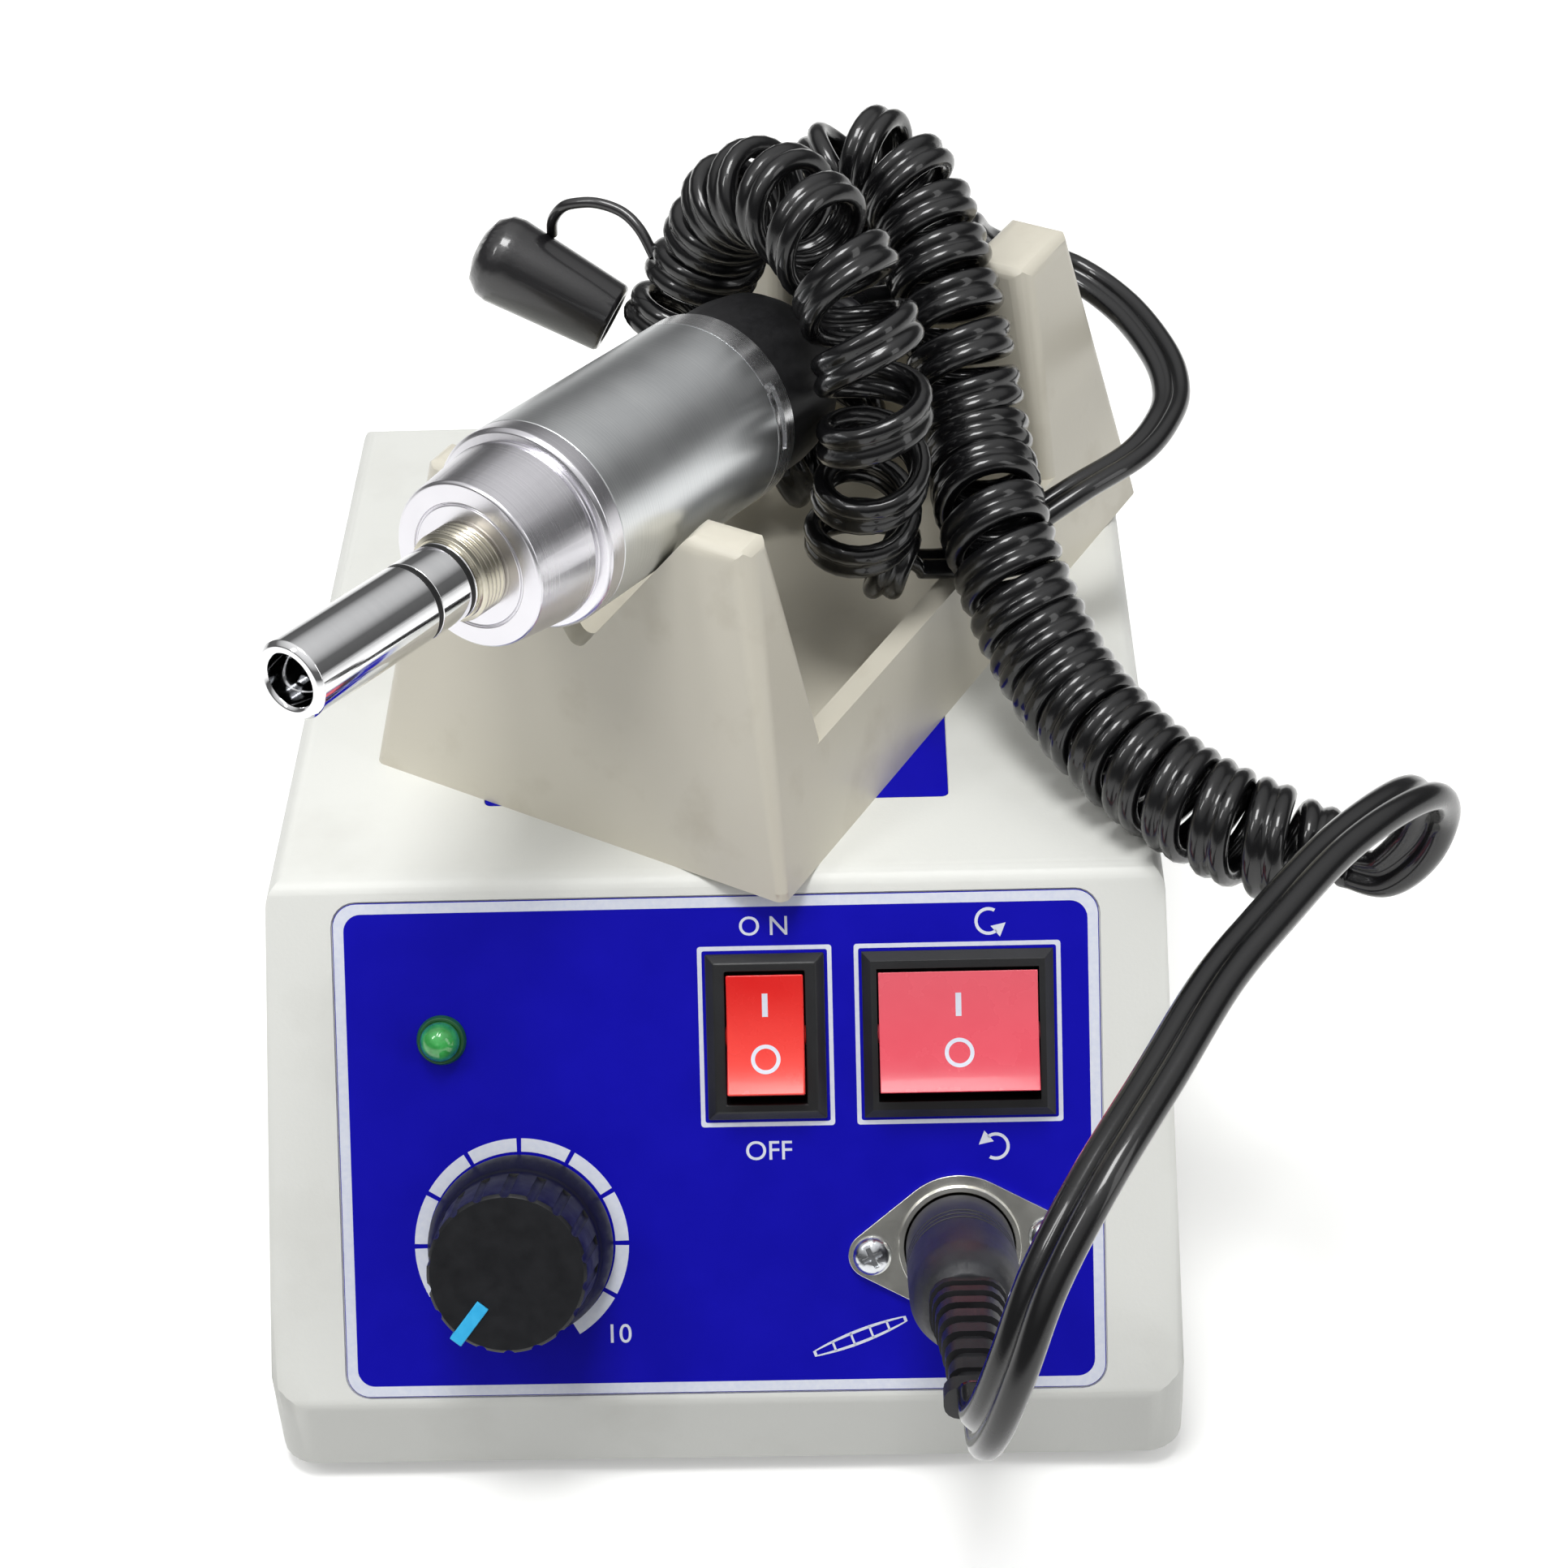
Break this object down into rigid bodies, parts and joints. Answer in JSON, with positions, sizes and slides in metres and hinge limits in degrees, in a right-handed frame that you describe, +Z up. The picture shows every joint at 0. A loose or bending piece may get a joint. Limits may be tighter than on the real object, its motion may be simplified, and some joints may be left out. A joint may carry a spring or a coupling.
{
  "type": "dental lab micromotor",
  "caption": "Bench control unit with rocker switches, speed dial and plugged curly cord, and a straight micromotor handpiece resting in its top cradle.",
  "frame": {"origin": "centre of the box footprint on the surface that its feet stand on", "axes": "+Z up, -Y towards the sloping front panel, +X to the right seen from the front"},
  "size_m": [0.1481, 0.2014, 0.1393],
  "materials": {
    "housing_plastic": "light off-white moulded case, fine matt texture",
    "plate_steel": "plain painted sheet",
    "foot_rubber": "black rubber",
    "screw_zinc": "zinc plated",
    "label_blue": "deep blue printed film with pale border",
    "cradle_plastic": "warm beige moulded plastic, satin",
    "pad_rubber": "soft pad",
    "bezel_black": "black moulded, satin",
    "rocker_red": "bright red, translucent, glossy",
    "rocker_rose": "rose red, glossy",
    "lens_green": "green lens, glossy",
    "knob_black": "satin black with fluted skirt",
    "pointer_blue": "light blue line",
    "steel_plain": "plain turned steel",
    "flange_zinc": "bright pressed sheet",
    "insert_black": "black insert",
    "contact_metal": "plated contacts",
    "plug_black": "black, half matt",
    "boot_rubber": "black, half matt",
    "nose_chrome": "polished",
    "ring_black": "black filled grooves",
    "sleeve_brass": "fine ribbed, worn",
    "collar_metal": "polished face and turned flank",
    "barrel_metal": "satin anodised",
    "magnet_dark": "dark magnets",
    "bearing_steel": "ground",
    "brush_brass": "brass holders",
    "cap_black": "black, satin",
    "core_iron": "stacked sheet",
    "winding_copper": "wound copper",
    "winding_tape": "yellow taped winding",
    "board_green": "green board",
    "capacitor_blue": "dark blue sleeve",
    "sink_aluminium": "extruded",
    "cord_black": "glossy black twin cord",
    "soft_black": "satin black"
  },
  "bodies": {
    "unit": {"upper_housing": "housing_plastic", "base_plate": "plate_steel", "rubber_feet": "foot_rubber", "case_screws": "screw_zinc", "panel_label": "label_blue", "top_label": "label_blue", "cradle": "cradle_plastic", "cradle_pads": "pad_rubber", "power_switch_frame": "bezel_black", "direction_switch_frame": "bezel_black", "lamp_bezel": "lens_green", "lamp_lens": "lens_green", "speed_pot": "steel_plain", "pot_nut": "steel_plain", "socket_flange": "flange_zinc", "socket_insert": "insert_black", "socket_screws": "screw_zinc", "plug_contacts": "contact_metal", "plug_body": "plug_black", "plug_boot": "boot_rubber", "motor_nose": "nose_chrome", "nose_rings": "ring_black", "threaded_sleeve": "sleeve_brass", "motor_collar": "collar_metal", "motor_body": "barrel_metal", "stator_magnets": "magnet_dark", "front_bearing": "bearing_steel", "rear_bearing": "bearing_steel", "rear_ring": "collar_metal", "brush_holders": "brush_brass", "rear_cap": "cap_black", "lead_relief": "soft_black", "mains_inlet": "insert_black", "inlet_pins": "steel_plain", "fuse_holder": "insert_black", "foot_jack": "insert_black", "jack_nut": "steel_plain", "transformer_core": "core_iron", "transformer_coils": "winding_tape", "control_board": "board_green", "board_capacitor": "capacitor_blue", "heat_sink": "sink_aluminium", "lead_front_tail": "cord_black", "curly_lead": "cord_black", "lead_rear_tail": "cord_black", "dust_cap": "soft_black", "cap_strap": "soft_black"},
    "power_rocker": {"power_rocker": "rocker_red"},
    "direction_rocker": {"direction_rocker": "rocker_rose"},
    "speed_knob": {"speed_knob": "knob_black", "knob_pointer": "pointer_blue", "pot_shaft": "steel_plain"},
    "rotor": {"rotor_shaft": "steel_plain", "drive_dog": "steel_plain", "rotor_core": "core_iron", "commutator": "winding_copper"},
    "fuse_cap": {"fuse_cap": "insert_black"}
  },
  "joints": [
    {"name": "power_rocker_tilt", "type": "hinge", "parent": "unit", "child": "power_rocker", "pos_m": [0.0062, -0.04604, 0.05206], "axis": [1, 0, 0], "range_deg": [0, 20]},
    {"name": "direction_rocker_tilt", "type": "hinge", "parent": "unit", "child": "direction_rocker", "pos_m": [0.0304, -0.04604, 0.05206], "axis": [1, 0, 0], "range_deg": [0, 20]},
    {"name": "speed_knob_turn", "type": "hinge", "parent": "unit", "child": "speed_knob", "pos_m": [-0.0254, -0.06124, 0.03096], "axis": [0, 0.8181, -0.575], "range_deg": [-8, 292]},
    {"name": "motor_spindle", "type": "hinge", "parent": "unit", "child": "rotor", "pos_m": [-0.04235, -0.0634, 0.1223], "axis": [0.5275, 0.841, -0.1201], "continuous": true},
    {"name": "fuse_cap_turn", "type": "hinge", "parent": "unit", "child": "fuse_cap", "pos_m": [-0.002, 0.073, 0.024], "axis": [0, 1, 0], "range_deg": [0, 90]}
  ]
}
